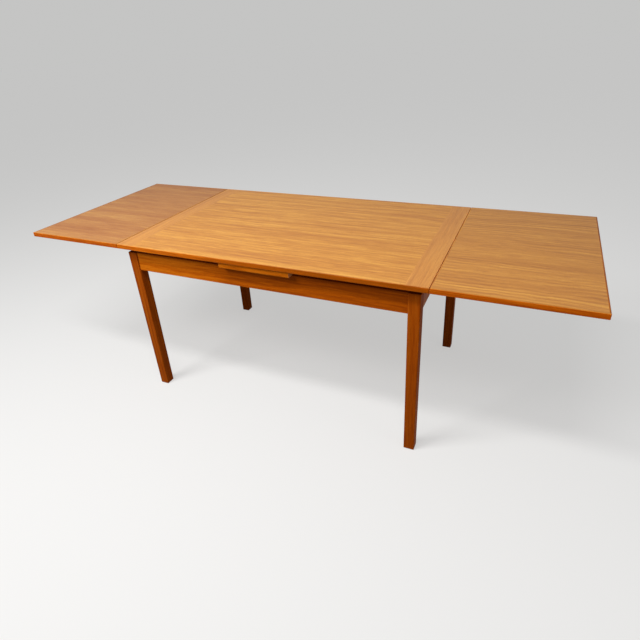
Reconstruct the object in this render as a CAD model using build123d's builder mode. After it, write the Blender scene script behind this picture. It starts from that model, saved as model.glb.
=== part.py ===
from build123d import *
import os
from math import sqrt

os.makedirs("parts", exist_ok=True)

# Draw-leaf dining table, drawn out to its full length, in millimetres.
# The origin lies on the floor under the middle of the table.
# X runs along the length, Y runs from the front to the back and Z runs up.

# Top and leaves
table_height = 725.0
top_length = 1300.0
table_depth = 836.0
board_thick = 19.0
lipping_width = 5.0
band_width = 80.0
edge_round = 2.0
tongue_thick = 6.0
tongue_width = 16.0
tongue_stop = 30.0

# Fixed centre board that the top rests on
centre_length = 298.0
centre_setback = 4.0
centre_round = 3.0

# Running room of the leaves
leaf_clearance = 1.5
stow_gap = 1.0
joint_gap = 1.2
outward_play = 18.0

# Legs
end_overhang = 29.0
side_overhang = 25.0
leg_top = 43.0
leg_foot = 40.5
leg_round = 3.0
foot_chamfer = 2.0
leg_crown = 1.5

# Aprons and the rail across the middle
apron_height = 80.0
apron_thick = 20.0
apron_reveal = 4.0
apron_round = 1.5
apron_arris = 1.2
rail_height = 60.0
rail_thick = 22.0

# Lopers, the sloping bars that carry a leaf
loper_width = 22.0
loper_depth = 40.0
loper_spread = 250.0
loper_between = 2.0
loper_tail = 70.0
loper_setback = 60.0
loper_nose_round = 8.0
run_clearance = 0.4

# Stop pegs through the inner ends of the lopers
stop_diameter = 8.0
stop_socket = 14.0
stop_reach = 14.0

# Guide pegs that locate the top on the centre board
guide_diameter = 16.0
guide_socket = 10.0
guide_reach = 19.0
guide_chamfer = 2.0
guide_spacing = 600.0
guide_clearance = 0.5

# Dowels of the frame joints
dowel_diameter = 10.0
dowel_half = 20.0
dowel_spacing = 46.0
rail_dowel_diameter = 8.0
rail_dowel_in_apron = 12.0
rail_dowel_in_rail = 20.0
rail_dowel_spacing = 28.0
fit_clearance = 0.3

# Corner braces with the bolts that draw the legs in
brace_thick = 22.0
brace_height = 40.0
brace_gap = 4.0
bolt_diameter = 8.0
bolt_in_leg = 34.0
bolt_end = 4.0
washer_diameter = 20.0
washer_thick = 1.6
nut_across = 13.0
nut_thick = 6.5

# Wood screws with flat-bottomed heads
screw_diameter = 4.5
head_diameter = 9.0
head_thick = 4.0
head_sink = 5.0
centre_screw_length = 40.0
centre_screw_pitch = 200.0
rail_screw_pitch = 240.0
loper_screw_seat = 11.0
loper_screw_bite = 12.0
loper_screw_start = 75.0
loper_screw_pitch = 140.0
loper_screw_count = 3

# Levels and places worked out from the sizes above
half_length = top_length / 2
half_depth = table_depth / 2
half_centre = centre_length / 2
top_under = table_height - board_thick
slot_height = board_thick + 2 * leaf_clearance
apron_top = top_under - slot_height
apron_bottom = apron_top - apron_height
apron_middle = apron_bottom + apron_height / 2
panel_depth = table_depth - 2 * lipping_width
leaf_length = half_length - half_centre - stow_gap
leaf_inner = half_length + joint_gap
leaf_outer = leaf_inner + leaf_length
leg_x = half_length - end_overhang
leg_y = half_depth - side_overhang
leg_in_x = leg_x - leg_top
leg_in_y = leg_y - leg_top
apron_x = leg_x - apron_reveal
apron_y = leg_y - apron_reveal
apron_in_x = apron_x - apron_thick
apron_in_y = apron_y - apron_thick
corners = [("front_left", -1, -1), ("front_right", 1, -1), ("back_left", -1, 1), ("back_right", 1, 1)]
sides = [("left", -1), ("right", 1)]
faces = [("front", -1), ("back", 1)]

# Slope of the draw: a leaf climbs its own thickness and clearance as it comes out
draw_travel = leaf_inner - half_centre - stow_gap
draw_slope = (board_thick + leaf_clearance) / draw_travel
loper_offset = (loper_width + loper_between) / 2
loper_places = [-loper_spread - loper_offset, loper_spread - loper_offset]


def run_top(x):
    return apron_top - run_clearance + (x - half_centre) * draw_slope


def run_bottom(x):
    return run_top(x) - loper_depth


def save(builder, name):
    builder.part.label = name
    export_step(builder.part, f"parts/{name}.step")


# Legs: upright outside, tapered on the two inner faces below the aprons
def bolt_plane(sx, sy):
    return Plane(origin=(sx * leg_in_x, sy * leg_in_y, apron_middle), x_dir=(0, 0, 1), z_dir=(sx, sy, 0))


for corner, sx, sy in corners:
    with BuildPart() as leg:
        with BuildSketch(Plane.XY):
            with Locations((sx * (leg_x - leg_foot / 2), sy * (leg_y - leg_foot / 2))):
                RectangleRounded(leg_foot, leg_foot, leg_round)
        with BuildSketch(Plane.XY.offset(apron_bottom)) as leg_head:
            with Locations((sx * (leg_x - leg_top / 2), sy * (leg_y - leg_top / 2))):
                RectangleRounded(leg_top, leg_top, leg_round)
        loft(ruled=True)
        extrude(leg_head.sketch, amount=apron_height)
        chamfer(leg.edges().group_by(Axis.Z)[0], foot_chamfer)
        chamfer(leg.edges().group_by(Axis.Z)[-1], leg_crown)
        with BuildSketch(Plane.YZ.offset(sx * leg_in_x)):
            with Locations((sy * (apron_y - apron_thick / 2), apron_middle)):
                with GridLocations(0, dowel_spacing, 1, 2):
                    Circle(dowel_diameter / 2 + fit_clearance)
        extrude(amount=sx * dowel_half, mode=Mode.SUBTRACT)
        with BuildSketch(Plane.XZ.offset(-sy * leg_in_y)):
            with Locations((sx * (apron_x - apron_thick / 2), apron_middle)):
                with GridLocations(0, dowel_spacing, 1, 2):
                    Circle(dowel_diameter / 2 + fit_clearance)
        extrude(amount=-sy * dowel_half, mode=Mode.SUBTRACT)
        with BuildSketch(bolt_plane(sx, sy).offset(-leg_round)):
            Circle(bolt_diameter / 2 + fit_clearance)
        extrude(amount=leg_round + bolt_in_leg, mode=Mode.SUBTRACT)
    save(leg, f"leg_{corner}")

# Long aprons: plain boards between the legs, doweled at both ends
for face, sy in faces:
    apron_mid_y = sy * (apron_y - apron_thick / 2)
    with BuildPart() as apron:
        with BuildSketch(Plane.XY.offset(apron_bottom)):
            with Locations((0, apron_mid_y)):
                Rectangle(2 * leg_in_x, apron_thick)
        extrude(amount=apron_height)
        outer_face = apron.faces().sort_by(Axis.Y)[-1 if sy > 0 else 0]
        chamfer(outer_face.edges().filter_by(Axis.Z), apron_arris)
        fillet(apron.edges().filter_by(Axis.X).group_by(Axis.Z)[0], apron_round)
        for sx in (-1, 1):
            with BuildSketch(Plane.YZ.offset(sx * leg_in_x)):
                with Locations((apron_mid_y, apron_middle)):
                    with GridLocations(0, dowel_spacing, 1, 2):
                        Circle(dowel_diameter / 2 + fit_clearance)
            extrude(amount=-sx * dowel_half, mode=Mode.SUBTRACT)
        with BuildSketch(Plane.XZ.offset(-sy * apron_in_y)):
            with Locations((0, apron_top - rail_height / 2)):
                with GridLocations(0, rail_dowel_spacing, 1, 2):
                    Circle(rail_dowel_diameter / 2 + fit_clearance)
        extrude(amount=-sy * rail_dowel_in_apron, mode=Mode.SUBTRACT)
        with BuildSketch(Plane.XY.offset(apron_top)):
            with Locations((0, apron_mid_y)):
                with GridLocations(centre_screw_pitch, 0, 2, 1):
                    Circle(screw_diameter / 2 + fit_clearance)
        extrude(amount=-(head_sink + centre_screw_length - slot_height), mode=Mode.SUBTRACT)
    save(apron, f"apron_{face}")

# End aprons: notched at the top, with sloping floors, where the lopers run out
for side, sx in sides:
    with BuildPart() as apron:
        with BuildSketch(Plane.XY.offset(apron_bottom)):
            with Locations((sx * (apron_x - apron_thick / 2), 0)):
                Rectangle(apron_thick, 2 * leg_in_y)
        extrude(amount=apron_height)
        outer_face = apron.faces().sort_by(Axis.X)[-1 if sx > 0 else 0]
        chamfer(outer_face.edges().filter_by(Axis.Z), apron_arris)
        fillet(apron.edges().filter_by(Axis.Y).group_by(Axis.Z)[0], apron_round)
        for sy in (-1, 1):
            with BuildSketch(Plane.XZ.offset(-sy * leg_in_y)):
                with Locations((sx * (apron_x - apron_thick / 2), apron_middle)):
                    with GridLocations(0, dowel_spacing, 1, 2):
                        Circle(dowel_diameter / 2 + fit_clearance)
            extrude(amount=sy * dowel_half, mode=Mode.SUBTRACT)
        for place in loper_places:
            with BuildSketch(Plane.XZ.offset(-sx * place)):
                with BuildLine():
                    Polyline(
                        (sx * apron_in_x, run_bottom(apron_in_x) - run_clearance),
                        (sx * apron_x, run_bottom(apron_x) - run_clearance),
                        (sx * apron_x, apron_top),
                        (sx * apron_in_x, apron_top),
                        close=True,
                    )
                make_face()
            extrude(amount=loper_width / 2 + run_clearance, both=True, mode=Mode.SUBTRACT)
    save(apron, f"apron_{side}_end")

# Corner braces: bars across the corners that the leg bolts pull against
brace_out = leg_in_x + leg_in_y - brace_gap * sqrt(2)
brace_in = brace_out - brace_thick * sqrt(2)
for corner, sx, sy in corners:
    with BuildPart() as brace:
        with BuildSketch(Plane.XY.offset(apron_middle - brace_height / 2)):
            with BuildLine():
                Polyline(
                    (sx * apron_in_x, sy * (brace_in - apron_in_x)),
                    (sx * apron_in_x, sy * (brace_out - apron_in_x)),
                    (sx * (brace_out - apron_in_y), sy * apron_in_y),
                    (sx * (brace_in - apron_in_y), sy * apron_in_y),
                    close=True,
                )
            make_face()
        extrude(amount=brace_height)
        with BuildSketch(bolt_plane(sx, sy).offset(-brace_gap)):
            Circle(bolt_diameter / 2 + fit_clearance)
        extrude(amount=-brace_thick, mode=Mode.SUBTRACT)
    save(brace, f"corner_brace_{corner}")

# Leg bolts, washers and nuts: one set in each corner
washer_seat = brace_gap + brace_thick
nut_seat = washer_seat + washer_thick
with BuildPart() as leg_bolts:
    for _, sx, sy in corners:
        with BuildSketch(bolt_plane(sx, sy).offset(bolt_in_leg)):
            Circle(bolt_diameter / 2)
        extrude(amount=-(bolt_in_leg + nut_seat + nut_thick + bolt_end))
save(leg_bolts, "leg_bolts")

with BuildPart() as leg_washers:
    for _, sx, sy in corners:
        with BuildSketch(bolt_plane(sx, sy).offset(-washer_seat)):
            Circle(washer_diameter / 2)
            Circle(bolt_diameter / 2 + fit_clearance, mode=Mode.SUBTRACT)
        extrude(amount=-washer_thick)
save(leg_washers, "leg_washers")

with BuildPart() as leg_nuts:
    for _, sx, sy in corners:
        with BuildSketch(bolt_plane(sx, sy).offset(-nut_seat)):
            RegularPolygon(nut_across / 2, 6, major_radius=False)
            Circle(bolt_diameter / 2 + fit_clearance, mode=Mode.SUBTRACT)
        extrude(amount=-nut_thick)
save(leg_nuts, "leg_nuts")

# Dowels: two in each joint of an apron with a leg
with BuildPart() as apron_dowels:
    for _, sx, sy in corners:
        with BuildSketch(Plane.YZ.offset(sx * leg_in_x)):
            with Locations((sy * (apron_y - apron_thick / 2), apron_middle)):
                with GridLocations(0, dowel_spacing, 1, 2):
                    Circle(dowel_diameter / 2)
        extrude(amount=dowel_half, both=True)
        with BuildSketch(Plane.XZ.offset(-sy * leg_in_y)):
            with Locations((sx * (apron_x - apron_thick / 2), apron_middle)):
                with GridLocations(0, dowel_spacing, 1, 2):
                    Circle(dowel_diameter / 2)
        extrude(amount=dowel_half, both=True)
save(apron_dowels, "apron_dowels")

# Centre rail: carries the centre board and guides the lopers in two open notches
with BuildPart() as centre_rail:
    with BuildSketch(Plane.XY.offset(apron_top - rail_height)):
        Rectangle(rail_thick, 2 * apron_in_y)
    extrude(amount=rail_height)
    notch_floor = run_bottom(-rail_thick / 2) - run_clearance
    with BuildSketch(Plane.XY.offset(apron_top)):
        with GridLocations(0, 2 * loper_spread, 1, 2):
            Rectangle(rail_thick, 2 * (loper_offset + run_clearance) + loper_width)
    extrude(amount=notch_floor - apron_top, mode=Mode.SUBTRACT)
    for sy in (-1, 1):
        with BuildSketch(Plane.XZ.offset(-sy * apron_in_y)):
            with Locations((0, apron_top - rail_height / 2)):
                with GridLocations(0, rail_dowel_spacing, 1, 2):
                    Circle(rail_dowel_diameter / 2 + fit_clearance)
        extrude(amount=sy * rail_dowel_in_rail, mode=Mode.SUBTRACT)
    with BuildSketch(Plane.XY.offset(apron_top)):
        with GridLocations(0, rail_screw_pitch, 1, 2):
            Circle(screw_diameter / 2 + fit_clearance)
    extrude(amount=-(head_sink + centre_screw_length - slot_height), mode=Mode.SUBTRACT)
save(centre_rail, "centre_rail")

with BuildPart() as rail_dowels:
    for sy in (-1, 1):
        with BuildSketch(Plane.XZ.offset(-sy * (apron_in_y + rail_dowel_in_apron))):
            with Locations((0, apron_top - rail_height / 2)):
                with GridLocations(0, rail_dowel_spacing, 1, 2):
                    Circle(rail_dowel_diameter / 2)
        extrude(amount=sy * (rail_dowel_in_apron + rail_dowel_in_rail))
save(rail_dowels, "rail_dowels")

# Centre board: fixed across the aprons between the stowed leaves, its ends showing under the top
centre_screws_y = apron_y - apron_thick / 2
with BuildPart() as centre_board:
    with BuildSketch(Plane.XY.offset(apron_top)):
        Rectangle(centre_length, table_depth - 2 * centre_setback)
    extrude(amount=slot_height)
    board_ends = centre_board.faces().filter_by(Axis.Y)
    fillet(board_ends.edges().group_by(Axis.Z)[0], centre_round)
    with Locations(Plane.XY.offset(top_under)):
        with GridLocations(0, guide_spacing, 1, 2):
            Hole(guide_diameter / 2 + guide_clearance)
        with GridLocations(centre_screw_pitch, 2 * centre_screws_y, 2, 2):
            CounterBoreHole(screw_diameter / 2 + fit_clearance, head_diameter / 2 + fit_clearance, head_sink)
        with GridLocations(0, rail_screw_pitch, 1, 2):
            CounterBoreHole(screw_diameter / 2 + fit_clearance, head_diameter / 2 + fit_clearance, head_sink)
save(centre_board, "centre_board")

screw_seat = top_under - head_sink
with BuildPart() as centre_screws:
    for plane, radius, length in (
        (Plane.XY.offset(screw_seat), head_diameter / 2, head_thick),
        (Plane.XY.offset(screw_seat), screw_diameter / 2, -centre_screw_length),
    ):
        with BuildSketch(plane):
            with GridLocations(centre_screw_pitch, 2 * centre_screws_y, 2, 2):
                Circle(radius)
            with GridLocations(0, rail_screw_pitch, 1, 2):
                Circle(radius)
        extrude(amount=length)
save(centre_screws, "centre_board_screws")

# Top: a veneered panel with a wide band across each end, tongued on, and a lipping along each side
panel_length = top_length - 2 * band_width
tongue_level = top_under + board_thick / 2 - tongue_thick / 2
tongue_length = panel_depth - 2 * tongue_stop
with BuildPart() as top_panel:
    with BuildSketch(Plane.XY.offset(top_under)):
        Rectangle(panel_length, panel_depth)
    extrude(amount=board_thick)
    with BuildSketch(Plane.XY.offset(tongue_level)):
        with GridLocations(panel_length, 0, 2, 1):
            Rectangle(tongue_width, tongue_length)
    extrude(amount=tongue_thick, mode=Mode.SUBTRACT)
    with BuildSketch(Plane.XY.offset(top_under)):
        with GridLocations(0, guide_spacing, 1, 2):
            Circle(guide_diameter / 2 + fit_clearance)
    extrude(amount=guide_socket, mode=Mode.SUBTRACT)
save(top_panel, "top_panel")

for side, sx in sides:
    with BuildPart() as band:
        with BuildSketch(Plane.XY.offset(top_under)):
            with Locations((sx * (half_length - band_width / 2), 0)):
                Rectangle(band_width, panel_depth)
        extrude(amount=board_thick)
        fillet(band.faces().sort_by(Axis.X)[-1 if sx > 0 else 0].edges().filter_by(Axis.Y), edge_round)
        with BuildSketch(Plane.XY.offset(tongue_level)):
            with Locations((sx * panel_length / 2, 0)):
                Rectangle(tongue_width, tongue_length)
        extrude(amount=tongue_thick, mode=Mode.SUBTRACT)
    save(band, f"top_band_{side}")

with BuildPart() as top_tongues:
    with BuildSketch(Plane.XY.offset(tongue_level)):
        with GridLocations(panel_length, 0, 2, 1):
            Rectangle(tongue_width, tongue_length)
    extrude(amount=tongue_thick)
save(top_tongues, "top_tongues")

for face, sy in faces:
    with BuildPart() as lipping:
        with BuildSketch(Plane.XY.offset(top_under)):
            with Locations((0, sy * (half_depth - lipping_width / 2))):
                Rectangle(top_length, lipping_width)
        extrude(amount=board_thick)
        outer_face = lipping.faces().sort_by(Axis.Y)[-1 if sy > 0 else 0]
        fillet(outer_face.edges() + lipping.edges().filter_by(Axis.Y), edge_round)
    save(lipping, f"top_lipping_{face}")

with BuildPart() as guide_pegs:
    with BuildSketch(Plane.XY.offset(top_under + guide_socket)):
        with GridLocations(0, guide_spacing, 1, 2):
            Circle(guide_diameter / 2)
    extrude(amount=-(guide_socket + guide_reach))
    chamfer(guide_pegs.edges().group_by(Axis.Z)[0], guide_chamfer)
save(guide_pegs, "guide_pegs")

# Leaves: each a veneered panel lipped on all four edges, screwed down on two sloping lopers
leaf_centre = (leaf_inner + leaf_outer) / 2
screw_places = [leaf_inner + loper_screw_start + i * loper_screw_pitch for i in range(loper_screw_count)]
flat_start = half_centre + (top_under - apron_top + run_clearance) / draw_slope
loper_nose = leaf_outer - loper_setback
stop_x = -(rail_thick / 2 + outward_play + run_clearance + stop_diameter / 2)
for side, sx in sides:
    with BuildPart() as leaf_panel:
        with BuildSketch(Plane.XY.offset(top_under)):
            with Locations((sx * leaf_centre, 0)):
                Rectangle(leaf_length - 2 * lipping_width, panel_depth)
        extrude(amount=board_thick)
        with BuildSketch(Plane.XY.offset(top_under)):
            with Locations([(sx * x, sx * place) for x in screw_places for place in loper_places]):
                Circle(screw_diameter / 2 + fit_clearance)
        extrude(amount=loper_screw_bite, mode=Mode.SUBTRACT)
    save(leaf_panel, f"{side}_leaf_panel")

    for face, sy in faces:
        with BuildPart() as lipping:
            with BuildSketch(Plane.XY.offset(top_under)):
                with Locations((sx * leaf_centre, sy * (half_depth - lipping_width / 2))):
                    Rectangle(leaf_length, lipping_width)
            extrude(amount=board_thick)
            outer_face = lipping.faces().sort_by(Axis.Y)[-1 if sy > 0 else 0]
            fillet(outer_face.edges() + lipping.edges().filter_by(Axis.Y), edge_round)
        save(lipping, f"{side}_leaf_lipping_{face}")

    for edge, x, outward in (("joint", leaf_inner, -1), ("end", leaf_outer, 1)):
        with BuildPart() as lipping:
            with BuildSketch(Plane.XY.offset(top_under)):
                with Locations((sx * (x - outward * lipping_width / 2), 0)):
                    Rectangle(lipping_width, panel_depth)
            extrude(amount=board_thick)
            rim = lipping.faces().sort_by(Axis.X)[-1 if sx * outward > 0 else 0]
            fillet(rim.edges().filter_by(Axis.Y), edge_round)
        save(lipping, f"{side}_leaf_lipping_{edge}")

    for place in loper_places:
        with BuildPart() as loper:
            with BuildSketch(Plane.XZ.offset(-sx * place)):
                with BuildLine():
                    Polyline(
                        (-sx * loper_tail, run_bottom(-loper_tail)),
                        (sx * loper_nose, run_bottom(loper_nose)),
                        (sx * loper_nose, top_under),
                        (sx * flat_start, top_under),
                        (-sx * loper_tail, run_top(-loper_tail)),
                        close=True,
                    )
                make_face()
            extrude(amount=loper_width / 2, both=True)
            nose = loper.faces().sort_by(Axis.X)[-1 if sx > 0 else 0]
            fillet(nose.edges().filter_by(Axis.Y).group_by(Axis.Z)[0], loper_nose_round)
            with BuildSketch(Plane.XY.offset(top_under)):
                with Locations([(sx * x, sx * place) for x in screw_places]):
                    Circle(screw_diameter / 2 + fit_clearance)
            extrude(amount=-loper_screw_seat, mode=Mode.SUBTRACT)
            with BuildSketch(Plane.XY.offset(top_under - loper_screw_seat)):
                with Locations([(sx * x, sx * place) for x in screw_places]):
                    Circle(head_diameter / 2 + fit_clearance)
            extrude(amount=-loper_depth, mode=Mode.SUBTRACT)
            with BuildSketch(Plane.XZ.offset(-sx * (place - loper_width / 2))):
                with Locations((sx * stop_x, run_top(stop_x) - loper_depth / 2)):
                    Circle(stop_diameter / 2 + fit_clearance)
            extrude(amount=-sx * stop_socket, mode=Mode.SUBTRACT)
        save(loper, f"{side}_loper_{'front' if sx * place < 0 else 'back'}")

    with BuildPart() as loper_screws:
        for radius, length in (
            (head_diameter / 2, -head_thick),
            (screw_diameter / 2, loper_screw_seat + loper_screw_bite),
        ):
            with BuildSketch(Plane.XY.offset(top_under - loper_screw_seat)):
                with Locations([(sx * x, sx * place) for x in screw_places for place in loper_places]):
                    Circle(radius)
            extrude(amount=length)
    save(loper_screws, f"{side}_loper_screws")

    with BuildPart() as stop_pegs:
        for place in loper_places:
            with BuildSketch(Plane.XZ.offset(-sx * (place - loper_width / 2 + stop_socket))):
                with Locations((sx * stop_x, run_top(stop_x) - loper_depth / 2)):
                    Circle(stop_diameter / 2)
            extrude(amount=sx * (stop_socket + stop_reach))
    save(stop_pegs, f"{side}_stop_pegs")
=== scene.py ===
import bmesh
import bpy
from math import cos, floor, pi, radians, sin
from mathutils import Matrix, Vector


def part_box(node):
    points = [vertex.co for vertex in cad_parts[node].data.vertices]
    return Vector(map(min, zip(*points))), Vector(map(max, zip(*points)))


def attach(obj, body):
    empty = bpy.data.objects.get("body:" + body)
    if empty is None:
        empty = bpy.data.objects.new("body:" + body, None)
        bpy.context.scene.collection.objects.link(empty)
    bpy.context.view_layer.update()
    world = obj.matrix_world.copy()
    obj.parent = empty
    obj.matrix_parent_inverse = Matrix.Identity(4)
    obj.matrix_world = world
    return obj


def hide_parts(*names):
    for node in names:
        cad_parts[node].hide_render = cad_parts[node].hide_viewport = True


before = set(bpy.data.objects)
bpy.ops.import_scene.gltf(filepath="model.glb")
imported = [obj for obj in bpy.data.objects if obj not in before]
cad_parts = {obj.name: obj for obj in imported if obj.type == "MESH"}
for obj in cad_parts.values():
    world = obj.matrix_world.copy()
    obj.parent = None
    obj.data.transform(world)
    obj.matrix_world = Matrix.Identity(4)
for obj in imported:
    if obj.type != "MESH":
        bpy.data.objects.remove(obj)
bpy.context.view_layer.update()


# Legs: four square posts of solid teak, upright outside and barely tapered on the inner faces.
# They are oiled, with the grain up the post, and their corners have been rubbed pale by use.
def feed(tree, socket, value):
    if isinstance(value, bpy.types.NodeSocket):
        tree.links.new(value, socket)
    else:
        socket.default_value = value


def add(tree, kind, **sockets):
    node = tree.nodes.new("ShaderNode" + kind)
    for name, value in sockets.items():
        feed(tree, node.inputs[name.replace("_", " ").title()], value)
    return node


def stretch(tree, vector, along, across):
    return add(tree, "Mapping", vector=vector, scale=(along, across, across)).outputs[0]


def noise(tree, vector, detail, roughness=0.5):
    cloud = add(tree, "TexNoise", vector=vector, scale=1.0, detail=detail, roughness=roughness)
    return cloud.outputs["Fac"]


def reckon(tree, operation, *terms):
    node = tree.nodes.new("ShaderNodeMath")
    node.operation = operation
    for socket, term in zip(node.inputs, terms):
        feed(tree, socket, term)
    return node.outputs[0]


def grade(tree, value, low, high, to_low=0.0, to_high=1.0):
    return add(tree, "MapRange", value=value, from_min=low, from_max=high, to_min=to_low,
               to_max=to_high).outputs[0]


def lay_over(tree, share, under, over):
    mix = tree.nodes.new("ShaderNodeMix")
    mix.data_type = "RGBA"
    for name, value in (("Factor_Float", share), ("A_Color", under), ("B_Color", over)):
        socket = next(s for s in mix.inputs if s.identifier == name)
        feed(tree, socket, (*value, 1.0) if isinstance(value, tuple) else value)
    return next(s for s in mix.outputs if s.identifier == "Result_Color")


def shades(tree, tone, tones):
    places = (0.20, 0.50, 0.80)
    ramp = tree.nodes.new("ShaderNodeValToRGB")
    ramp.color_ramp.elements.new(places[1])
    for stop, place, colour in zip(ramp.color_ramp.elements, places, tones):
        stop.position = place
        stop.color = (*colour, 1.0)
    feed(tree, ramp.inputs["Fac"], tone)
    return ramp.outputs["Color"]


def darker(colour, share):
    return tuple(share * c for c in colour)


def run_fibres(tree, lengthwise, wave, sway):
    drift = add(tree, "TexNoise", vector=stretch(tree, lengthwise, sway, 6.0), scale=1.0, detail=3.0)
    bend = tree.nodes.new("ShaderNodeVectorMath")
    bend.operation = "MULTIPLY_ADD"
    feed(tree, bend.inputs[0], drift.outputs["Color"])
    feed(tree, bend.inputs[1], (0.0, 2 * wave, 2 * wave))
    feed(tree, bend.inputs[2], lengthwise)
    return bend.outputs[0]


def streaks(tree, lengthwise, fibres, streak, depth, left_painted_light):
    middle_tone = 0.5
    painted_light_full_to = -0.35
    painted_light_gone_at = -0.10
    length = add(tree, "SeparateXYZ", vector=lengthwise).outputs["X"]
    # Painted light: before the given length along the grain the tone is painted paler, and past it a
    # little darker.
    tone = grade(tree, length, painted_light_full_to, painted_light_gone_at, middle_tone + left_painted_light, middle_tone - left_painted_light)
    for along, across, detail, share in ((0.9, 1 / streak, 3.0, 1.0), (2.2, 1.6 / streak, 2.0, 0.45),
                                         (5.0, 115.0, 3.0, 0.7), (12.0, 270.0, 2.0, 0.9)):
        layer = noise(tree, stretch(tree, fibres, along, across), detail, roughness=0.58)
        swing = reckon(tree, "SUBTRACT", layer, middle_tone)
        tone = reckon(tree, "MULTIPLY_ADD", swing, share * depth, tone)
    return tone


def growth_lines(tree, lengthwise, fibres, tone, figure, spacing):
    unevenness = 7.0
    mean_ring = 0.64
    width = add(tree, "SeparateXYZ", vector=fibres).outputs["Y"]
    warp = reckon(tree, "MULTIPLY", noise(tree, stretch(tree, fibres, 1.5, 8.0), 2.0), unevenness)
    wavy_width = reckon(tree, "MULTIPLY_ADD", width, pi / spacing, warp)
    ring = reckon(tree, "ABSOLUTE", reckon(tree, "SINE", wavy_width))
    patches = noise(tree, stretch(tree, lengthwise, 1.2, 6.0), 1.0)
    strength = grade(tree, patches, 0.40, 0.62, 0.0, figure)
    return reckon(tree, "MULTIPLY_ADD", reckon(tree, "SUBTRACT", ring, mean_ring), strength, tone)


def rub_edges(tree, place, normal, colour, pale, wear):
    flat = 0.995
    rubbed_through = 0.86
    rounded = add(tree, "Bevel", radius=0.0035)
    rounded.samples = 4
    turned_in = tree.nodes.new("ShaderNodeVectorMath")
    turned_in.operation = "DOT_PRODUCT"
    feed(tree, turned_in.inputs[0], rounded.outputs[0])
    feed(tree, turned_in.inputs[1], normal)
    rubbed = grade(tree, turned_in.outputs["Value"], flat, rubbed_through)
    patches = noise(tree, stretch(tree, place, 22.0, 22.0), 3.0)
    patchy = grade(tree, patches, 0.35, 0.65, 0.2 * wear, wear)
    return lay_over(tree, reckon(tree, "MULTIPLY", rubbed, patchy), colour, pale)


def wood(name, grain, tones, streak=0.020, depth=1.0, figure=0.0, spacing=0.040, wave=0.010, sway=2.6,
         left_painted_light=0.0, rough=0.40, shine=0.05, wear=0.0, painted_sheen_up=None, under=None, ends=None):
    # Streak, spacing and wave are in metres and sway in bends a metre. The other numbers are shares.
    material = bpy.data.materials.new(name)
    material.use_nodes = True
    tree = material.node_tree
    shader = tree.nodes["Principled BSDF"]
    shader.inputs["Specular IOR Level"].default_value = shine
    turn = {"X": (0, 0, 0), "Y": (0, 0, -pi / 2), "Z": (0, pi / 2, 0)}[grain]
    place = add(tree, "TexCoord").outputs["Object"]
    lengthwise = add(tree, "Mapping", vector=place, rotation=turn).outputs[0]
    fibres = run_fibres(tree, lengthwise, wave, sway)
    tone = streaks(tree, lengthwise, fibres, streak, depth, left_painted_light)
    if figure:
        tone = growth_lines(tree, lengthwise, fibres, tone, figure, spacing)
    colour = shades(tree, tone, tones)

    # Faces that look up can have tones of their own, a painted sheen, and faces that look down or cut
    # across the grain can have tones of their own too.
    normal = add(tree, "NewGeometry").outputs["Normal"]
    facing = add(tree, "SeparateXYZ", vector=normal)
    if painted_sheen_up:
        painted_sheen_mask = grade(tree, facing.outputs["Z"], 0.5, 0.9)
        colour = lay_over(tree, painted_sheen_mask, colour, shades(tree, tone, painted_sheen_up))
    if under:
        looks_down = grade(tree, facing.outputs["Z"], -0.5, -0.9)
        colour = lay_over(tree, looks_down, colour, shades(tree, tone, under))
    end_share = 0.55
    end_grain = grade(tree, reckon(tree, "ABSOLUTE", facing.outputs[grain]), 0.75, 0.95, 0.0, end_share)
    colour = lay_over(tree, end_grain, colour, ends or darker(tones[0], 0.5))

    # Fine threads and open pores darken the wood, and use rubs its edges pale.
    thread_share = 0.14
    pore_share = 0.45
    threads = noise(tree, stretch(tree, fibres, 14.0, 620.0), 3.0, roughness=0.6)
    pores = grade(tree, noise(tree, stretch(tree, fibres, 75.0, 1500.0), 1.0), 0.60, 0.72)
    colour = lay_over(tree, grade(tree, threads, 0.3, 0.7, 0.0, thread_share), colour, tones[0])
    colour = lay_over(tree, reckon(tree, "MULTIPLY", pores, pore_share), colour, darker(tones[0], 0.45))
    if wear:
        rubbed_pale = tuple(min(1.0, 1.3 * c + 0.02) for c in tones[2])
        colour = rub_edges(tree, place, normal, colour, rubbed_pale, wear)
    feed(tree, shader.inputs["Base Color"], colour)

    # The same threads and pores make the finish uneven and give it its relief.
    roughness = grade(tree, threads, 0.25, 0.75, rough - 0.06, rough + 0.08)
    if under:
        bare_rough = 0.75
        bare = reckon(tree, "MULTIPLY", looks_down, bare_rough)
        roughness = reckon(tree, "MAXIMUM", roughness, bare)
    feed(tree, shader.inputs["Roughness"], roughness)
    thread_height = 0.35
    height = reckon(tree, "SUBTRACT", reckon(tree, "MULTIPLY", threads, thread_height), pores)
    relief = add(tree, "Bump", strength=0.22, distance=0.0004, height=height)
    feed(tree, shader.inputs["Normal"], relief.outputs[0])
    return material


def finish_in(material, *names):
    for name in names:
        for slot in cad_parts[name].material_slots:
            slot.material = material


leg_tones = ((0.25, 0.039, 0.001), (0.37, 0.066, 0.001), (0.48, 0.106, 0.004))
leg_teak = wood("leg_teak", "Z", leg_tones, streak=0.016, depth=0.8, rough=0.55, shine=0.03, wear=0.25)
finish_in(leg_teak, "leg_front_left", "leg_front_right", "leg_back_left", "leg_back_right")


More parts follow.
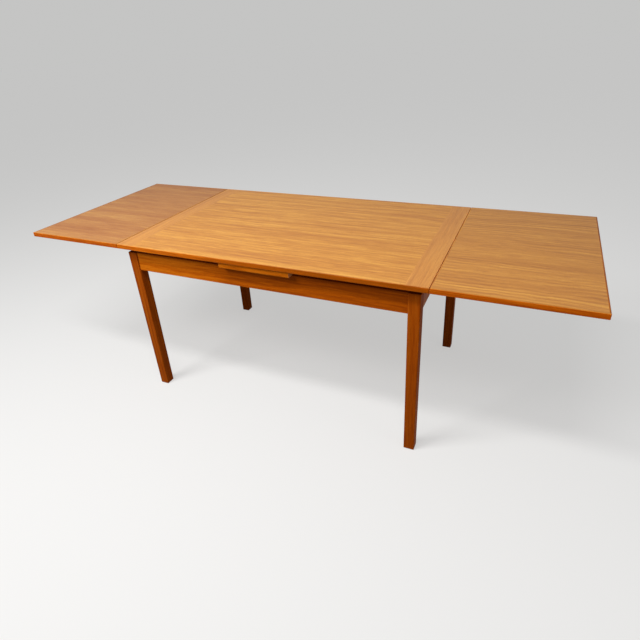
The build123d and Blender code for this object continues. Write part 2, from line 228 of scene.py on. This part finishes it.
# Aprons: four teak boards on edge between the legs, set back a little from their faces and doweled in.
# The grain runs along each board. The long ones are painted paler in their left third, a painted pool of
# light, and the two end ones are notched for the bars of the leaves.
apron_tones = ((0.33, 0.056, 0.001), (0.54, 0.109, 0.001), (0.73, 0.187, 0.005))
long_apron_teak = wood("long_apron_teak", "X", apron_tones, depth=0.7, left_painted_light=0.14, rough=0.55, shine=0.03,
                       wear=0.2)
end_apron_teak = wood("end_apron_teak", "Y", apron_tones, depth=0.9, rough=0.42, shine=0.03, wear=0.2)
finish_in(long_apron_teak, "apron_front", "apron_back")
finish_in(end_apron_teak, "apron_left_end", "apron_right_end")


# Dowels: turned beech pegs, glued half into a leg or an apron and half into the piece that it meets.
# They are plain pale wood and show only where a joint opens.
dowel_tones = ((0.48, 0.29, 0.14), (0.62, 0.40, 0.22), (0.72, 0.50, 0.30))
dowel_beech = wood("dowel_beech", "X", dowel_tones, streak=0.006, depth=0.5, rough=0.60)
finish_in(dowel_beech, "apron_dowels", "rail_dowels")


# Corner braces: beech bars set across the inner corners, planed and left bare.
# The leg bolts pass through them and pull the legs up against the aprons.
brace_tones = ((0.48, 0.25, 0.095), (0.63, 0.36, 0.155), (0.74, 0.46, 0.230))
brace_beech = wood("brace_beech", "X", brace_tones, streak=0.012, depth=0.6, rough=0.58, wear=0.3)
finish_in(brace_beech, "corner_brace_front_left", "corner_brace_front_right", "corner_brace_back_left",
          "corner_brace_back_right")


# Leg bolts: steel studs with a coarse wood thread in the leg and a fine machine thread for the nut.
# Each has a flat washer and a chamfered hexagon nut, all zinc plated and a little dull with age.
def lathe(shape, stations, sides=32, hollow=False):
    rings = []
    for height, radius in stations:
        ring = []
        for i in range(sides):
            angle = 2 * pi * i / sides
            reach = radius(angle, height) if callable(radius) else radius
            ring.append(shape.verts.new((reach * cos(angle), reach * sin(angle), height)))
        rings.append(ring)
    pairs = list(zip(rings, rings[1:]))
    if hollow:
        pairs.append((rings[-1], rings[0]))
    else:
        shape.faces.new(rings[0][::-1])
        shape.faces.new(rings[-1])
    for low, high in pairs:
        for i in range(sides):
            j = (i + 1) % sides
            shape.faces.new((low[i], low[j], high[j], high[i]))


def thread(root, crest, pitch):
    def radius(angle, height):
        turn = height / pitch - angle / (2 * pi)
        return root + (crest - root) * abs(2 * (turn - floor(turn)) - 1)
    return radius


def steps(low, high, pace):
    count = max(1, round((high - low) / pace))
    return [low + (high - low) * i / count for i in range(count + 1)]


def to_mesh(shape, name):
    mesh = bpy.data.meshes.new(name)
    bmesh.ops.recalc_face_normals(shape, faces=shape.faces)
    shape.to_mesh(mesh)
    shape.free()
    return mesh


crease = radians(32)


def set_out(name, pattern, places, material, body, node):
    shape = bmesh.new()
    for place in places:
        copy = pattern.copy()
        copy.transform(place)
        shape.from_mesh(copy)
        bpy.data.meshes.remove(copy)
    mesh = to_mesh(shape, name)
    mesh.shade_smooth()
    mesh.set_sharp_from_angle(angle=crease)
    mesh.materials.append(material)
    piece = bpy.data.objects.new(name, mesh)
    bpy.context.scene.collection.objects.link(piece)
    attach(piece, body)
    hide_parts(node)


def middles(node, apart):
    heaps = []
    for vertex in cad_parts[node].data.vertices:
        near = [heap for heap in heaps if (heap[0] - vertex.co).length < apart]
        if near:
            near[0].append(vertex.co)
        else:
            heaps.append([vertex.co])
    return [Vector([(min(c) + max(c)) / 2 for c in zip(*heap)]) for heap in heaps]


corners_apart = 0.2


def along_bolts(node):
    places = []
    for middle in middles(node, corners_apart):
        inward = Vector((-middle.x / abs(middle.x), -middle.y / abs(middle.y), 0.0))
        places.append(Matrix.Translation(middle) @ inward.to_track_quat("Z", "Y").to_matrix().to_4x4())
    return places


def plate(name, dull, bright, rough):
    material = bpy.data.materials.new(name)
    material.use_nodes = True
    tree = material.node_tree
    shader = tree.nodes["Principled BSDF"]
    shader.inputs["Metallic"].default_value = 1.0
    place = add(tree, "TexCoord").outputs["Object"]
    cloud = noise(tree, stretch(tree, place, 260.0, 260.0), 3.0)
    specks = grade(tree, noise(tree, stretch(tree, place, 1800.0, 1800.0), 2.0), 0.58, 0.70, 0.0, 0.6)
    colour = lay_over(tree, grade(tree, cloud, 0.3, 0.7), dull, bright)
    colour = lay_over(tree, specks, colour, darker(dull, 0.5))
    feed(tree, shader.inputs["Base Color"], colour)
    feed(tree, shader.inputs["Roughness"], grade(tree, cloud, 0.3, 0.7, rough + 0.1, rough - 0.1))
    relief = add(tree, "Bump", strength=0.15, distance=0.0001, height=specks)
    feed(tree, shader.inputs["Normal"], relief.outputs[0])
    return material


zinc = plate("zinc", (0.40, 0.40, 0.39), (0.68, 0.68, 0.66), 0.36)
bolt_crest = 0.0040
bolt_shank = 0.0037
bolt_hole = bolt_crest + 0.0002
bolt_middle = middles("leg_bolts", corners_apart)[0]
bolt_half = (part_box("leg_bolts")[1][0] - abs(bolt_middle.x)) / cos(pi / 4) - bolt_crest
point_long = 0.0040
wood_root = 0.0029
wood_pitch = 0.0032
wood_start = -bolt_half + 0.0046
wood_end = -0.06 * bolt_half
wood_thread = thread(wood_root, bolt_crest, wood_pitch)
nut_root = 0.0034
nut_pitch = 0.00125
nut_start = bolt_half - 0.017
nut_end = bolt_half - 0.0009
nut_thread = thread(nut_root, bolt_crest, nut_pitch)
stud = [(-bolt_half, 0.0006), (-bolt_half + point_long, 0.0026)]
stud += [(h, wood_thread) for h in steps(wood_start, wood_end, wood_pitch / 8)]
stud += [(wood_end + 0.0008, bolt_shank), (nut_start - 0.0006, bolt_shank)]
stud += [(h, nut_thread) for h in steps(nut_start, nut_end, nut_pitch / 8)]
stud += [(bolt_half - 0.0006, 0.0033), (bolt_half, 0.0028)]
shape = bmesh.new()
lathe(shape, stud)
set_out("threaded_leg_bolts", to_mesh(shape, "stud"), along_bolts("leg_bolts"), zinc, "frame",
        "leg_bolts")

washer_rim = 0.0100
washer_half = 0.0008
washer_corner = 0.0004
washer_flat = washer_rim - washer_corner
shape = bmesh.new()
lathe(shape, [(-washer_half, bolt_hole), (-washer_half, washer_flat),
              (washer_corner - washer_half, washer_rim), (washer_half - washer_corner, washer_rim),
              (washer_half, washer_flat), (washer_half, bolt_hole)], sides=48, hollow=True)
set_out("flat_leg_washers", to_mesh(shape, "washer"), along_bolts("leg_washers"), zinc, "frame",
        "leg_washers")

nut_flat = 0.0065
nut_half = 0.00325
nut_chamfer = 1.7


def hexagon(angle, height):
    turn = (angle + pi / 6) % (pi / 3) - pi / 6
    return min(nut_flat / cos(turn), nut_flat + (nut_half - abs(height)) * nut_chamfer)


chamfer_steps = (0.0, 0.0002, 0.0004, 0.0007)
nut_low = [-nut_half + step for step in chamfer_steps]
nut = [(-nut_half, bolt_hole)]
nut += [(h, hexagon) for h in nut_low + [-h for h in reversed(nut_low)]]
nut += [(nut_half, bolt_hole)]
shape = bmesh.new()
lathe(shape, nut, sides=48, hollow=True)
set_out("hexagon_leg_nuts", to_mesh(shape, "nut"), along_bolts("leg_nuts"), zinc, "frame",
        "leg_nuts")


# Centre rail: a beech board on edge across the middle, doweled between the long aprons.
# Two open notches in it guide the tails of the bars, and their floors are worn smooth.
rail_tones = ((0.48, 0.25, 0.090), (0.62, 0.35, 0.150), (0.73, 0.45, 0.220))
rail_beech = wood("rail_beech", "Y", rail_tones, streak=0.014, depth=0.6, rough=0.56, wear=0.3)
finish_in(rail_beech, "centre_rail")


# Centre board: a teak board fixed flat across the aprons, between the two stowed leaves.
# Its front and back edges show as a lip under the top. Its end faces are painted pale, a painted
# highlight, and its pale rubbed edges are partly wear and partly a painted highlight.
centre_tones = ((0.36, 0.068, 0.001), (0.53, 0.123, 0.002), (0.68, 0.193, 0.008))
centre_end_painted_highlight = (0.90, 0.52, 0.24)
centre_teak = wood("centre_teak", "X", centre_tones, streak=0.016, rough=0.55, shine=0.03, wear=0.5,
                   ends=centre_end_painted_highlight)
finish_in(centre_teak, "centre_board")


# Centre board screws: slotted steel wood screws with round heads, let down below the face of the board.
# The same pattern, cut shorter, holds the bars under the leaves.
def wood_screw(name, node):
    low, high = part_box(node)
    head_high = 0.0040
    head_radius = 0.0045
    head_rim = 0.0010
    length = high[2] - low[2] - head_high
    screw_root = 0.0016
    screw_crest = 0.00225
    screw_pitch = 0.0018
    screw_shank = 0.0021
    point_end = 0.0030
    thread_start = 0.0034
    thread_end = 0.62 * length
    screw_thread = thread(screw_root, screw_crest, screw_pitch)
    stations = [(0.0, 0.0003), (point_end, 0.0014)]
    stations += [(h, screw_thread) for h in steps(thread_start, thread_end, screw_pitch / 8)]
    stations += [(thread_end + 0.0010, screw_shank), (length, screw_shank), (length, head_radius)]
    dome_steps = 8
    dome_turn = 0.47 * pi
    for i in range(dome_steps + 1):
        turn = dome_turn * i / dome_steps
        stations.append((length + head_rim + (head_high - head_rim) * sin(turn), head_radius * cos(turn)))
    shape = bmesh.new()
    lathe(shape, stations)
    slot_deep = 0.0018
    slot_half = 0.0006
    slot_wall = 0.95 * slot_half
    slot_floor = length + head_high - slot_deep
    for side in (-slot_half, -slot_wall, slot_wall, slot_half):
        whole = shape.verts[:] + shape.edges[:] + shape.faces[:]
        bmesh.ops.bisect_plane(shape, geom=whole, plane_co=(side, 0, 0), plane_no=(1, 0, 0))
    for vertex in shape.verts:
        if abs(vertex.co.x) < 0.96 * slot_half:
            vertex.co.z = min(vertex.co.z, slot_floor)
    return to_mesh(shape, name)


steel = plate("steel", (0.26, 0.25, 0.23), (0.50, 0.48, 0.44), 0.40)
screws_apart = 0.06
slot_turn = 0.7
screw_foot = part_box("centre_board_screws")[0][2]
upright = [Matrix.Translation((m.x, m.y, screw_foot)) @ Matrix.Rotation(slot_turn * i, 4, "Z")
           for i, m in enumerate(middles("centre_board_screws", screws_apart))]
set_out("slotted_centre_screws", wood_screw("centre_screw", "centre_board_screws"), upright, steel,
        "frame", "centre_board_screws")


# Top: a panel veneered in teak with its grain along the table, and a band across each end whose grain
# runs from front to back. Hidden beech tongues hold the bands, and the underside has a plainer backing
# veneer.
top_tones = ((0.47, 0.178, 0.043), (0.63, 0.274, 0.058), (0.81, 0.400, 0.084))
backing_tones = ((0.34, 0.125, 0.028), (0.44, 0.180, 0.045), (0.54, 0.240, 0.068))
band_tones = ((0.47, 0.187, 0.052), (0.61, 0.268, 0.067), (0.74, 0.358, 0.085))
band_side_tones = ((0.52, 0.105, 0.012), (0.66, 0.150, 0.018), (0.78, 0.200, 0.026))
top_teak = wood("top_teak", "X", top_tones, streak=0.030, depth=0.95, figure=0.06, spacing=0.030,
                wave=0.008, rough=0.38, shine=0.12, under=backing_tones)
# Painted sheen: the bands' faces that look up take paler tones than their deep orange sides.
band_teak = wood("band_teak", "Y", band_side_tones, streak=0.018, depth=0.55, figure=0.06, spacing=0.022,
                 wave=0.006, rough=0.38, shine=0.12, painted_sheen_up=band_tones, under=backing_tones)
tongue_beech = wood("tongue_beech", "Y", dowel_tones, streak=0.008, depth=0.5, rough=0.60)
finish_in(top_teak, "top_panel")
finish_in(band_teak, "top_band_left", "top_band_right")
finish_in(tongue_beech, "top_tongues")


# Lippings: solid teak strips glued along the sides of the top and round the leaves, with softened edges.
# Their sides are deep orange, and their faces that look up take paler tones near the veneer's, a painted
# sheen, except on the end lippings, which are darker all over. The sides in the left joint are darkest, a
# painted shade.
top_edge_tones = ((0.37, 0.078, 0.001), (0.53, 0.106, 0.001), (0.77, 0.183, 0.005))
leaf_edge_tones = ((0.40, 0.067, 0.001), (0.58, 0.111, 0.001), (0.71, 0.171, 0.005))
end_edge_tones = ((0.20, 0.046, 0.004), (0.30, 0.076, 0.008), (0.42, 0.125, 0.016))
joint_tones = ((0.40, 0.085, 0.010), (0.55, 0.130, 0.015), (0.70, 0.190, 0.024))
# Painted shade: darker tones for the sides in the left joint, where the gap is shaded.
joint_painted_shade_tones = ((0.16, 0.038, 0.008), (0.22, 0.055, 0.011), (0.30, 0.080, 0.016))
# Painted sheen: paler tones for the faces of the lippings that look up.
joint_painted_sheen_tones = ((0.40, 0.150, 0.038), (0.55, 0.232, 0.050), (0.72, 0.348, 0.070))
leaf_painted_sheen_tones = ((0.38, 0.125, 0.018), (0.53, 0.210, 0.032), (0.70, 0.330, 0.052))
# Painted light and sheen: these lippings are painted paler at the left end, and their faces that look up
# take the top's tones.
top_edge_teak = wood("top_edge_teak", "X", top_edge_tones, streak=0.014, left_painted_light=0.14, wear=0.1,
                     painted_sheen_up=top_tones)
leaf_edge_teak = wood("leaf_edge_teak", "X", leaf_edge_tones, streak=0.014, wear=0.1,
                      painted_sheen_up=leaf_painted_sheen_tones)
joint_edge_teak = wood("joint_edge_teak", "Y", joint_tones, streak=0.014, painted_sheen_up=joint_painted_sheen_tones)
joint_painted_shade_teak = wood("joint_painted_shade_teak", "Y", joint_painted_shade_tones, streak=0.014, painted_sheen_up=joint_painted_sheen_tones)
end_edge_teak = wood("end_edge_teak", "Y", end_edge_tones, streak=0.014, shine=0.10)
finish_in(top_edge_teak, "top_lipping_front", "top_lipping_back")
finish_in(leaf_edge_teak, "left_leaf_lipping_front", "left_leaf_lipping_back", "right_leaf_lipping_front",
          "right_leaf_lipping_back")
finish_in(joint_edge_teak, "right_leaf_lipping_joint")
finish_in(joint_painted_shade_teak, "left_leaf_lipping_joint")
finish_in(end_edge_teak, "left_leaf_lipping_end", "right_leaf_lipping_end")


# Guide pegs: two turned beech pegs glued under the top, with chamfered ends.
# They drop into holes in the centre board and keep the top in its place.
peg_beech = wood("peg_beech", "Z", dowel_tones, streak=0.006, depth=0.5, rough=0.50)
finish_in(peg_beech, "guide_pegs")


# Leaves: two panels veneered in teak, each cut from one wide sheet, with a backing veneer underneath.
# The left one is redder and plain, and the right one has a lively figure of long wavy growth lines.
left_leaf_tones = ((0.35, 0.120, 0.037), (0.48, 0.201, 0.060), (0.62, 0.306, 0.088))
right_leaf_tones = ((0.39, 0.152, 0.040), (0.56, 0.238, 0.053), (0.75, 0.366, 0.077))
left_leaf_teak = wood("left_leaf_teak", "X", left_leaf_tones, streak=0.080, depth=0.8, figure=0.05,
                      spacing=0.050, rough=0.38, shine=0.12, under=backing_tones)
right_leaf_teak = wood("right_leaf_teak", "X", right_leaf_tones, streak=0.045, depth=0.55, figure=0.32,
                       spacing=0.022, wave=0.024, sway=4.5, rough=0.38, shine=0.12, under=backing_tones)
finish_in(left_leaf_teak, "left_leaf_panel")
finish_in(right_leaf_teak, "right_leaf_panel")


# Bars: sloping beech lopers screwed under the leaves, which run in the end aprons and the centre rail.
# A round peg through each tail stops the leaf at the rail, and the sliding faces are waxed.
loper_tones = ((0.48, 0.25, 0.090), (0.63, 0.36, 0.155), (0.74, 0.46, 0.230))
loper_beech = wood("loper_beech", "X", loper_tones, streak=0.010, depth=0.6, rough=0.48, wear=0.3)
stop_beech = wood("stop_beech", "Y", dowel_tones, streak=0.006, depth=0.5, rough=0.50)
finish_in(loper_beech, "left_loper_front", "left_loper_back", "right_loper_front", "right_loper_back")
finish_in(stop_beech, "left_stop_pegs", "right_stop_pegs")


# Bar screws: slotted screws driven up through each bar into the leaf, from the floor of a deep round
# hole. They are the pattern of the centre board screws, cut shorter.
bar_slot_turn = 0.9
for side in ("left", "right"):
    node = f"{side}_loper_screws"
    screw_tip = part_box(node)[1][2]
    hanging = []
    for i, middle in enumerate(middles(node, screws_apart)):
        point = Matrix.Translation((middle.x, middle.y, screw_tip)) @ Matrix.Rotation(pi, 4, "X")
        hanging.append(point @ Matrix.Rotation(bar_slot_turn * i, 4, "Z"))
    set_out(f"{side}_slotted_screws", wood_screw(f"{side}_screw", node), hanging, steel, f"{side}_leaf",
            node)


# Floor: a plain pale studio floor that takes the table's shadow.
# It is painted on one side only, so that the underside of the table can be looked at from below, and it
# throws less light on the table than so pale a floor would.
floor_reach = 60.0
floor_drop = 0.0005
floor_shade = (0.27, 0.263, 0.250)
floor_seen = (0.36, 0.356, 0.350)
floor_glow = (0.50, 0.498, 0.492)
no_glow = (0.0, 0.0, 0.0)
floor_corners = [(x * floor_reach, y * floor_reach, 0) for x, y in ((-1, -1), (1, -1), (1, 1), (-1, 1))]
floor_mesh = bpy.data.meshes.new("floor")
floor_mesh.from_pydata(floor_corners, [], [(0, 1, 2, 3)])
floor_board = bpy.data.objects.new("floor", floor_mesh)
bpy.context.scene.collection.objects.link(floor_board)
floor_board.location.z = -floor_drop
floor_paint = bpy.data.materials.new("floor_paint")
floor_paint.use_nodes = True
tree = floor_paint.node_tree
tree.nodes.remove(tree.nodes["Principled BSDF"])


def looked_at(tree):
    path = add(tree, "LightPath").outputs
    mirrored = reckon(tree, "MAXIMUM", path["Is Glossy Ray"], path["Is Transmission Ray"])
    return reckon(tree, "MAXIMUM", path["Is Camera Ray"], mirrored)


seen = looked_at(tree)
matt = add(tree, "BsdfDiffuse", color=lay_over(tree, seen, floor_shade, floor_seen))
glow = add(tree, "Emission", color=lay_over(tree, seen, no_glow, floor_glow))
paint = add(tree, "AddShader")
feed(tree, paint.inputs[0], matt.outputs[0])
feed(tree, paint.inputs[1], glow.outputs[0])
clear = add(tree, "BsdfTransparent")
one_sided = add(tree, "MixShader")
feed(tree, one_sided.inputs[0], add(tree, "NewGeometry").outputs["Backfacing"])
feed(tree, one_sided.inputs[1], paint.outputs[0])
feed(tree, one_sided.inputs[2], clear.outputs[0])
feed(tree, tree.nodes["Material Output"].inputs["Surface"], one_sided.outputs[0])
floor_mesh.materials.append(floor_paint)


# Light: an even pale sky and three lamps. A long narrow one high in front draws the shadow of the top
# on the aprons, a broad one at the left softens it, and a weak low one at the right lights the end.
sky_shade = (0.16, 0.164, 0.17)
sky_seen = (0.557, 0.557, 0.551)
world = bpy.data.worlds.new("studio")
world.use_nodes = True
bpy.context.scene.world = world
tree = world.node_tree
sky = tree.nodes["Background"]
feed(tree, sky.inputs["Color"], lay_over(tree, looked_at(tree), sky_shade, sky_seen))


def hang_lamp(name, place, target, length, width, watts):
    lamp_data = bpy.data.lights.new(name, "AREA")
    lamp_data.shape = "RECTANGLE"
    lamp_data.size = length
    lamp_data.size_y = width
    lamp_data.energy = watts
    lamp = bpy.data.objects.new(name, lamp_data)
    bpy.context.scene.collection.objects.link(lamp)
    lamp.visible_camera = False
    lamp.location = place
    lamp.rotation_euler = (Vector(target) - lamp.location).to_track_quat("-Z", "Y").to_euler()


hang_lamp("front_lamp", (-0.1, -1.45, 3.2), (0.0, -0.3, 0.7), length=2.4, width=0.35, watts=68.0)
hang_lamp("left_lamp", (-1.6, -2.2, 2.8), (0.0, -0.3, 0.6), length=1.4, width=0.9, watts=60.0)
hang_lamp("right_lamp", (2.8, -1.0, 1.0), (0.0, -0.3, 0.4), length=1.2, width=0.8, watts=5.0)


# Camera: at standing height off the front right corner, tilted a little, looking down along the table.
# Its lens is shifted slightly, because the picture lies above the middle of its frame.
stand = Vector((0.9214, -1.7746, 1.4362))
aim = Vector((0.2448, -0.3627, 0.6015))
tilt = radians(-3.52)
camera_data = bpy.data.cameras.new("camera")
camera_data.sensor_width = 36.0
camera_data.lens = 27.32
camera_data.shift_y = -0.037
camera = bpy.data.objects.new("camera", camera_data)
bpy.context.scene.collection.objects.link(camera)
camera.location = stand
level = (aim - stand).to_track_quat("-Z", "Y").to_matrix()
camera.rotation_euler = (level @ Matrix.Rotation(tilt, 3, "Z")).to_euler()
bpy.context.scene.camera = camera
bpy.context.scene.view_settings.view_transform = "Standard"
